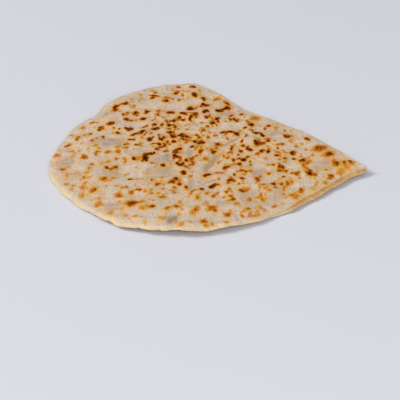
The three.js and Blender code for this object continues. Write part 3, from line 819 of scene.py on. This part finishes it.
# %% Rows of points round the edge
# Each section, from its upper row to its lower: inset from the outline in mm, height as a share
PRESSED_SECTION = np.array([(0.5, 1.0), (0.0, 0.8), (0.3, 0.5), (0.4, 0.47), (0.0, 0.25), (0.5, 0.0)])
FOLD_SECTION = np.array([(2.0, 1.0), (0.5, 0.8), (0.0, 0.55), (0.0, 0.42), (0.4, 0.2), (1.9, 0.0)])
UPPER_LEAF_ROWS = 3
NICK_DEPTH, NICK_WAVES = 0.6, (11, 29)
CHIPS, CHIP_SEED = [(10.0, 0.9), (4.0, 0.6), (1.7, 0.3)], 90  # size and depth of the finer unevenness

rim_angle = np.arctan2(top_y[top_rim], top_x[top_rim])
rim_radius = at_angle(rim_angle, edge_radius)
rim_way = edge_way[top_nearest[top_rim]]
rim_fold = at_angle(rim_angle, edge_fold)
rim_step = at_angle(rim_angle, edge_leaf_step)
rim_x, rim_y = rim_radius * np.cos(rim_angle), rim_radius * np.sin(rim_angle)
torn = sum(np.sin(waves * 2 * np.pi * rim_way + waves) for waves in NICK_WAVES) / len(NICK_WAVES)
chips = layered_noise(rim_x, rim_y, CHIPS, CHIP_SEED)
rim_nick = (NICK_DEPTH * torn + chips) * ragged(rim_x) * (1 - rim_fold)

rows_x, rows_y, rows_z = [], [], []
for row, (pressed, folded) in enumerate(zip(PRESSED_SECTION, FOLD_SECTION)):
    pressed_inset = pressed[0] + rim_step * (row < UPPER_LEAF_ROWS)
    inset = pressed_inset * (1 - rim_fold) + folded[0] * rim_fold - rim_nick
    high = pressed[1] + (folded[1] - pressed[1]) * rim_fold
    out = 1 - inset / rim_radius
    rows_x.append(rim_x * out)
    rows_y.append(rim_y * out)
    rows_z.append(lift(rim_x * out, rim_y * out, 1) + high * thickness(0 * rim_x, rim_fold, LIP_WIDTH))
print("rows round the edge:", len(rows_x), "of", len(rim_x), "points")

# %% [markdown]
# ## The skin
# Upper face, edge and lower face become one closed mesh. Neighbouring rows are joined by quads, and
# where the edge meets the coarser lower face, three triangles join two fine steps to one coarse one.
# All faces are listed anticlockwise as seen from outside, so that they point outwards.

# %% Faces from point to point
def grid_quads(cells, first, downward):
    """Quads of a square grid whose points start at number first."""
    index = first + np.arange((cells + 1) ** 2).reshape(cells + 1, cells + 1)
    corners = [index[:-1, :-1], index[1:, :-1], index[1:, 1:], index[:-1, 1:]]
    quads = np.stack(corners, axis=-1).reshape(-1, 4)
    return quads[:, ::-1] if downward else quads


def ring_quads(upper, lower):
    """Quads between two rings of the same number of points, the upper one further in."""
    return np.column_stack([upper, lower, np.roll(lower, -1), np.roll(upper, -1)])


def two_to_one(fine_ring, coarse_ring):
    """Three triangles for each two steps of the fine ring, against one step of the coarse one."""
    first, middle, last = fine_ring[0::2], fine_ring[1::2], np.roll(fine_ring[0::2], -1)
    ahead = np.roll(coarse_ring, -1)
    return np.concatenate([np.column_stack(corners) for corners in (
        (first, coarse_ring, middle), (middle, coarse_ring, ahead), (middle, ahead, last))])


around = len(top_rim)
rings = [top_rim] + [len(top_x) + row * around + np.arange(around) for row in range(len(rows_x))]
under_first = len(top_x) + len(rows_x) * around
quads = np.concatenate([grid_quads(TOP_CELLS, 0, False), grid_quads(UNDER_CELLS, under_first, True)]
                       + [ring_quads(upper, lower) for upper, lower in zip(rings, rings[1:])])
triangles = two_to_one(rings[-1], under_first + under_rim)
print("faces:", len(quads), "quads and", len(triangles), "triangles")

# %% The mesh
places = np.column_stack([np.concatenate([top, *rows, under]) for top, rows, under in (
    (top_x, rows_x, under_x), (top_y, rows_y, under_y), (top_z, rows_z, under_z))])
box_middle = (places[:, :2].min(axis=0) + places[:, :2].max(axis=0)) / 2
places[:, :2] -= box_middle  # so that it lies over the origin

skin = bpy.data.meshes.new("baked_flatbread")
skin.from_pydata((places * MM).tolist(), [], quads.tolist() + triangles.tolist())
skin.polygons.foreach_set("use_smooth", np.ones(len(skin.polygons), bool))
bread = put("baked_flatbread", skin)
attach(bread, "root")
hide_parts("flatbread")
print("skin:", len(places), "points,", 2 * len(quads) + len(triangles), "triangles")

# %% [markdown]
# ## What shows through the dough
# The dough is thin, and the filling under it shows as grey, lilac and tan patches, and a green leaf here
# and there. They could be painted on by hand. Soft discs round a few places in the picture do the same,
# with noise to make their edges wander. Narrow tan bands along the creases are painted shade, over
# dough thin enough there for the filling to show too.

# %% Places read off the picture
LILAC_PATCHES = [  # column and row in the picture, reach in mm
    (95, 141, 9), (66, 163, 7), (140, 149, 8), (112, 206, 8), (107, 114, 5), (163, 160, 8), (228, 114, 7),
    (258, 174, 7), (226, 204, 7), (248, 197, 6), (276, 134, 7), (203, 182, 6), (193, 124, 7), (327, 162, 5)]
TAN_PATCHES = [
    (74, 174, 8), (112, 174, 8), (164, 172, 10), (155, 177, 9), (276, 197, 5), (318, 167, 8), (163, 228, 6)]
DARK_PATCHES = [(113, 142, 10), (186, 152, 8)]  # grey
LILAC_SHARE, TAN_PATCH_SHARE = 0.8, 0.6  # by which these show; the dark ones show in full
CREASE_SHADE_STROKES = [  # tan bands too, painted shade along the creases: column and row of both ends in the picture, half width in mm
    (226, 153.5, 217, 157, 2.4), (217, 157, 210.5, 164, 2.6), (210.5, 164, 205.5, 171, 2.6),
    (240, 137.5, 229, 142.5, 1.4), (229, 142.5, 222, 146.5, 1.4), (214, 180.5, 199, 186, 2.2)]
HERBS = [  # spots of green leaf
    (170.6, 222, 2.2), (171.8, 220.8, 2.3), (174, 219, 2.3), (175.4, 217.8, 2.2), (166, 155.5, 2.0)]
print("patches:", len(LILAC_PATCHES + DARK_PATCHES + TAN_PATCHES), "and spots of leaf:", len(HERBS))

# %% Patches that show through the dough
PATCH_WANDER, PATCH_PUSH, HERB_PUSH, PUSH_SEEDS = 7.0, 3.0, 0.5, (95, 96)
PATCH_NOISE, NOISE_SHARE = [(24.0, 0.8), (9.0, 0.5)], 0.5  # smaller patches between those in the picture
TOP_PATCH_SEED, UNDER_PATCH_SEED = 100, 110
SHOWS_FROM = (0.2, 0.8)  # a patch starts and is full at these levels


def pushed(x, y, push):
    """Places pushed about by noise."""
    return [place + push * noise(x, y, PATCH_WANDER, seed) for place, seed in zip((x, y), PUSH_SEEDS)]


def patches_seen(x, y, places_seen, push):
    """Soft discs round places that show in the picture. Points and discs are pushed alike, so that the
    discs stay in place and only their edges wander."""
    spots = np.array(places_seen)
    spots_x, spots_y = pushed(*on_bread(spots[:, 0], spots[:, 1]), push)
    return hills(*pushed(x, y, push), zip(spots_x, spots_y, np.ones(len(spots)), spots[:, 2]))


def crease_shade_seen(x, y):
    """Narrow bands along strokes that show in the picture: painted shade along the creases."""
    strokes = np.array(CREASE_SHADE_STROKES)
    starts, ends = (np.column_stack(on_bread(*strokes[:, first:first + 2].T)) for first in (0, 2))
    return bands(x, y, zip(starts, ends, np.ones(len(strokes)), strokes[:, 4]))


def filling_shows(level, inward):
    """Nought to one, and only where there is filling under the dough."""
    return ease(level, *SHOWS_FROM) * ease(inward, *RELIEF_FROM)


top_herb = np.minimum(patches_seen(top_x, top_y, HERBS, HERB_PUSH), 1)
top_lilac, top_dark, top_tan = (
    patches_seen(top_x, top_y, patches, PATCH_PUSH)
    for patches in (LILAC_PATCHES, DARK_PATCHES, TAN_PATCHES))
top_lilac += NOISE_SHARE * layered_noise(top_x, top_y, PATCH_NOISE, TOP_PATCH_SEED)
under_lilac = layered_noise(under_x, under_y, PATCH_NOISE, UNDER_PATCH_SEED)
print("share of the upper face that is tan:", round(float((top_tan > SHOWS_FROM[0]).mean()), 3))

# %% [markdown]
# The fields ride on the mesh as attributes, one number for each point, where the material can read
# them. Four more join char and glow: how pale the lip is, how much of the filling shows through the
# dough as grey or lilac and as tan, and where a green leaf shows. The tan field also holds painted shade:
# bands along the creases, and the edge at the left end. The right end's lip got a little heat
# too, which goes into its char.

# %% Attributes for the material
LIP_PALE = (0.2, 1.8)  # the lip's colour fades out between these distances in from the edge
EDGE_TOAST = (0.10, 0.12, 0.16, 0.14, 0.12, 0.10)  # browning of each row of the edge at the right end
TOAST_TOP, TOAST_FROM = 0.085, (3.0, 7.0)  # and of the face beside it
PALE_FROM, LEFT_EDGE_SHADE = (-118.0, -60.0), 0.5  # the lip's edge at the left end is darkened to tan instead, by this share: painted shade where it turns down


def on_rows(edge_values):
    """The edge's values, for all its rows of points."""
    return np.tile(at_angle(rim_angle, edge_values), len(rows_x))


edge_pale = ease(edge[:, 0], *PALE_FROM) * (1 - edge_fold)
# painted shade: the rows of the edge at the left end are darkened towards tan
edge_painted_shade = LEFT_EDGE_SHADE * (1 - ease(edge[:, 0], *PALE_FROM)) * (1 - edge_fold)
top_toast = TOAST_TOP * top_right * (1 - ease(top_inward, *TOAST_FROM))
fields = {  # on the upper face, on the edge and on the lower face
    "char": (np.maximum(top_char * (1 - top_herb), top_toast),
             np.outer(EDGE_TOAST, at_angle(rim_angle, edge_right)).ravel(), under_char),
    "glow": (top_glow, 0.0, under_glow),
    "lip": ((1 - ease(top_inward, *LIP_PALE)) * edge_pale[top_nearest], on_rows(edge_pale),
            (1 - ease(under_inward, *LIP_PALE)) * edge_pale[under_nearest]),
    "filling": (np.maximum(LILAC_SHARE * filling_shows(top_lilac, top_inward),
                           filling_shows(top_dark, top_inward)),
                0.0, LILAC_SHARE * filling_shows(under_lilac, under_inward)),
    # tan: patches where the filling shows, painted shade along the creases, and painted shade on the edge
    # at the left end
    "tan": (np.maximum(TAN_PATCH_SHARE * filling_shows(top_tan, top_inward),
                       filling_shows(crease_shade_seen(top_x, top_y), top_inward)),
            on_rows(edge_painted_shade), 0.0),
    "herb": (top_herb, 0.0, 0.0),
}
counts = (len(top_x), len(rows_x) * around, len(under_x))
for name, parts in fields.items():
    values = np.concatenate([np.broadcast_to(part, count) for part, count in zip(parts, counts)])
    skin.attributes.new(name, "FLOAT", "POINT").data.foreach_set("value", values.astype(np.float32))
print("attributes:", ", ".join(fields))

# %% [markdown]
# ## Baked dough
# The dough is pale, uneven and matt. An image could carry its colours, but close up it would show its
# pixels, and nodes don't. Each kind of node that is needed gets a small function, so that a colour
# takes one line later on.

# %% A new material, and the way its grain runs
GRAIN_STRETCH = 1.7  # the dough's grain is longer the way of rolling

dough = bpy.data.materials.new("baked_dough")
dough.use_nodes = True
nodes, links = dough.node_tree.nodes, dough.node_tree.links
shader = nodes["Principled BSDF"]
grain_turn = np.arctan2(away_y, away_x) - np.pi / 2
rolled_place = nodes.new("ShaderNodeMapping")
rolled_place.vector_type = "TEXTURE"
rolled_place.inputs["Rotation"].default_value[2] = grain_turn
rolled_place.inputs["Scale"].default_value[1] = GRAIN_STRETCH
links.new(nodes.new("ShaderNodeTexCoord").outputs["Object"], rolled_place.inputs["Vector"])
print("grain turned by", round(np.degrees(grain_turn)), "degrees")

# %% One function for each kind of node
COARSE_GRAIN = (5, 3)  # size in mm and detail, for this grain and those that follow
MIX_INPUTS, MIX_RESULT = (0, 6, 7), 2  # of a colour Mix node: share, base and colour, and what comes out


def feed(socket, value):
    """Gives a socket another node's output, a colour or a number."""
    if isinstance(value, bpy.types.NodeSocket):
        links.new(value, socket)
    else:
        socket.default_value = (*value, 1) if isinstance(value, tuple) else value


def attribute(name):
    """One of the mesh's fields."""
    node = nodes.new("ShaderNodeAttribute")
    node.attribute_name = name
    return node.outputs["Fac"]


def number(operation, *inputs):
    """A Math node: each input is a number or another node's output."""
    node = nodes.new("ShaderNodeMath")
    node.operation = operation
    for socket, value in zip(node.inputs, inputs):
        feed(socket, value)
    return node.outputs[0]


def times(first, second):
    """The product of two numbers or outputs."""
    return number("MULTIPLY", first, second)


def grain(size_mm, detail):
    """Noise from about nought to one, with features of the given size, longer the way of rolling."""
    node = nodes.new("ShaderNodeTexNoise")
    feed(node.inputs["Scale"], 1 / (size_mm * MM))
    feed(node.inputs["Detail"], detail)
    feed(node.inputs["Vector"], rolled_place.outputs["Vector"])
    return node.outputs["Fac"]


def between(low, high, value):
    """Nought to one as value runs from low to high, eased."""
    node = nodes.new("ShaderNodeMapRange")
    node.interpolation_type = "SMOOTHSTEP"
    feed(node.inputs["From Min"], low)
    feed(node.inputs["From Max"], high)
    feed(node.inputs["Value"], value)
    return node.outputs["Result"]


def tint(share, base, colour, blend="MIX"):
    """Mixes a colour over a base by a share, or multiplies it in."""
    node = nodes.new("ShaderNodeMix")
    node.data_type = "RGBA"
    node.blend_type = blend
    for slot, value in zip(MIX_INPUTS, (share, base, colour)):
        feed(node.inputs[slot], value)
    return node.outputs[MIX_RESULT]


coarse_grain = grain(*COARSE_GRAIN)
print("nodes so far:", len(nodes))

# %% [markdown]
# A ramp turns char into crust: gold at the edge of a mark, then orange and brown, nearly black in its
# core. A fine noise times the square of the char is added before the ramp, which makes the dark marks
# grainy, and one more noise makes the crust redder in one place and more golden in the next.

# %% Colour of the crust
CRUST_RAMP = [  # char level and colour, where the crust is at its reddest
    (0.05, (0.64, 0.352, 0.175)), (0.22, (0.62, 0.25, 0.06)), (0.48, (0.49, 0.12, 0.006)),
    (0.70, (0.25, 0.035, 0.001)), (0.94, (0.045, 0.006, 0.0))]
CRUST_YELLOWER = (1.0, 1.42, 1.0)  # elsewhere it is more golden, by so much at the most
HUE_GRAIN, HUE_LEVELS = (3.6, 1), (0.38, 0.62)
CHAR_GRAIN, CHAR_CHANGE = (1.5, 2), 1.3  # char changes up or down by this much times its square

crust = nodes.new("ShaderNodeValToRGB")
for level, _ in CRUST_RAMP[2:]:
    crust.color_ramp.elements.new(level)
for stop, (level, stop_colour) in zip(crust.color_ramp.elements, CRUST_RAMP):
    stop.position = level
    stop.color = (*stop_colour, 1)

char = attribute("char")
char_grain = number("MULTIPLY_ADD", grain(*CHAR_GRAIN), 2 * CHAR_CHANGE, -CHAR_CHANGE)
char_level = number("MULTIPLY_ADD", times(char, char), char_grain, char)
feed(crust.inputs["Fac"], char_level)
hue = between(*HUE_LEVELS, grain(*HUE_GRAIN))
crust_colour = tint(hue, crust.outputs["Color"], CRUST_YELLOWER, "MULTIPLY")
print("shades of crust:", len(CRUST_RAMP))

# %% [markdown]
# Noises of four sizes change the dough's colour: warm areas, lilac streaks, cream areas, and fine darker
# pores.
# The lilac streaks are random tone, and painted shade of fine wrinkles too.
# Filling, tan, lip, glow and herb then lay theirs over it, and the crust comes last.

# %% Colour of the dough
DOUGH, DOUGH_GREY, DOUGH_LIP = (0.665, 0.535, 0.40), (0.4425, 0.33, 0.264), (0.71, 0.545, 0.325)
DOUGH_TAN, TAN_SHARE = (0.47, 0.305, 0.16), 0.9
DOUGH_OLIVE, GOLD = (0.30, 0.245, 0.15), (0.62, 0.342, 0.14)
DOUGH_CHANGES = [  # grain, the levels of it at which a colour starts and is full, its share, the colour
    ((14, 3), (0.42, 0.62), 1.0, (0.66, 0.49, 0.345)),  # warm
    ((1.3, 1), (0.45, 0.65), 0.55, (0.40, 0.31, 0.23)),  # pores
    ((4.6, 1), (0.48, 0.62), 1.0, (0.60, 0.50, 0.42)),  # lilac streaks, partly painted shade of fine wrinkles
    ((6.5, 1), (0.52, 0.68), 1.0, (0.67, 0.47, 0.28))]  # cream
GREY_LEVELS, LIP_LEVELS = (0.2, 0.5), (0.3, 0.6)  # levels of the coarse grain for these two
GLOW_GAIN, GLOW_LEAST = 1.2, 0.2  # glow is uneven: the coarse grain times the first, plus the second
CRUST_FROM = (0.02, 0.2)  # crust covers the dough between these levels of char

glow_level = times(attribute("glow"), number("MULTIPLY_ADD", coarse_grain, GLOW_GAIN, GLOW_LEAST))
colour = DOUGH
for size_and_detail, levels, share, change in DOUGH_CHANGES:
    colour = tint(times(between(*levels, grain(*size_and_detail)), share), colour, change)
colour = tint(times(attribute("filling"), between(*GREY_LEVELS, coarse_grain)), colour, DOUGH_GREY)
# tan holds painted shade too, along the creases and on the edge at the left end
colour = tint(times(attribute("tan"), TAN_SHARE), colour, DOUGH_TAN)
colour = tint(times(attribute("lip"), between(*LIP_LEVELS, coarse_grain)), colour, DOUGH_LIP)
colour = tint(glow_level, colour, GOLD)
colour = tint(attribute("herb"), colour, DOUGH_OLIVE)
colour = tint(between(*CRUST_FROM, char_level), colour, crust_colour)
feed(shader.inputs["Base Color"], colour)
print("mixes of colour:", sum(node.bl_idname == "ShaderNodeMix" for node in nodes))

# %% [markdown]
# Dough hardly shines, and light goes a little way into it. Its finest grain would take millions of
# points as a mesh, so it is a bump instead: three noises that only turn the light.

# %% Surface
SURFACE = {"Roughness": 0.7, "Specular IOR Level": 0.02, "Subsurface Weight": 0.08,
           "Subsurface Radius": (1.0, 0.5, 0.25), "Subsurface Scale": 1.5 * MM}
BUMP_STRENGTH, BUMP_DISTANCE = 0.75, 0.6 * MM
BUMP_FINE, BUMP_MIDDLE = (1.1, 4), (2.4, 2)  # grains
MIDDLE_HIGH, COARSE_HIGH = 1.2, 1.5  # the height of two grains, against one for the fine grain

for name, value in SURFACE.items():
    shader.inputs[name].default_value = value
bump_height = grain(*BUMP_FINE)
for part, high in ((grain(*BUMP_MIDDLE), MIDDLE_HIGH), (coarse_grain, COARSE_HIGH)):
    bump_height = number("MULTIPLY_ADD", part, high, bump_height)
bump = nodes.new("ShaderNodeBump")
for name, value in (("Strength", BUMP_STRENGTH), ("Distance", BUMP_DISTANCE), ("Height", bump_height)):
    feed(bump.inputs[name], value)
feed(shader.inputs["Normal"], bump.outputs["Normal"])
skin.materials.append(dough)
print("material nodes:", len(nodes))

# %% [markdown]
# ## Floor and light
# The bread lies on one large pale square, which catches its shadow. A background alone would let it hang
# in the air. The floor is the stage, and no piece of the bread.

# %% Floor
FLOOR_HALF, FLOOR_COLOUR, FLOOR_ROUGHNESS = 4.0, (0.685, 0.69, 0.745), 0.8

floor_corners = [(x * FLOOR_HALF, y * FLOOR_HALF, 0) for x, y in ((-1, -1), (1, -1), (1, 1), (-1, 1))]
floor_mesh = bpy.data.meshes.new("floor")
floor_mesh.from_pydata(floor_corners, [], [(0, 1, 2, 3)])
floor = put("floor", floor_mesh)
floor_paint = bpy.data.materials.new("floor")
floor_paint.use_nodes = True
floor_shader = floor_paint.node_tree.nodes["Principled BSDF"]
floor_shader.inputs["Base Color"].default_value = (*FLOOR_COLOUR, 1)
floor_shader.inputs["Roughness"].default_value = FLOOR_ROUGHNESS
floor_mesh.materials.append(floor_paint)
print("floor, m:", 2 * FLOOR_HALF, "each way")

# %% [markdown]
# Soft light comes from the left and a little behind, as from a large window, and a weaker one from the
# camera's side. A dim even sky fills the shadows. The colours are shown as they are, with no film look.

# %% Light and sky
LIGHTS = [  # name, size in m, power in W, place in m
    ("window", 2.8, 256.0, (-3.5, -3.2, 4.0)), ("fill", 2.5, 62.0, (2.4, -1.4, 1.2))]
SKY_COLOUR, SKY_STRENGTH = (1.0, 1.0, 1.0), 0.36

for name, size, power, spot in LIGHTS:
    light_data = bpy.data.lights.new(name, "AREA")
    light_data.size = size
    light_data.energy = power
    back = np.array(spot) / np.linalg.norm(spot)
    put(name, light_data).matrix_world = facing(spot, *level_right_and_up(back), back)
sky = bpy.data.worlds.new("sky")
sky.use_nodes = True
sky_background = sky.node_tree.nodes["Background"]
sky_background.inputs["Color"].default_value = (*SKY_COLOUR, 1)
sky_background.inputs["Strength"].default_value = SKY_STRENGTH
bpy.context.scene.world = sky
bpy.context.scene.view_settings.view_transform = "Standard"
print("lights:", ", ".join(name for name, *_ in LIGHTS))
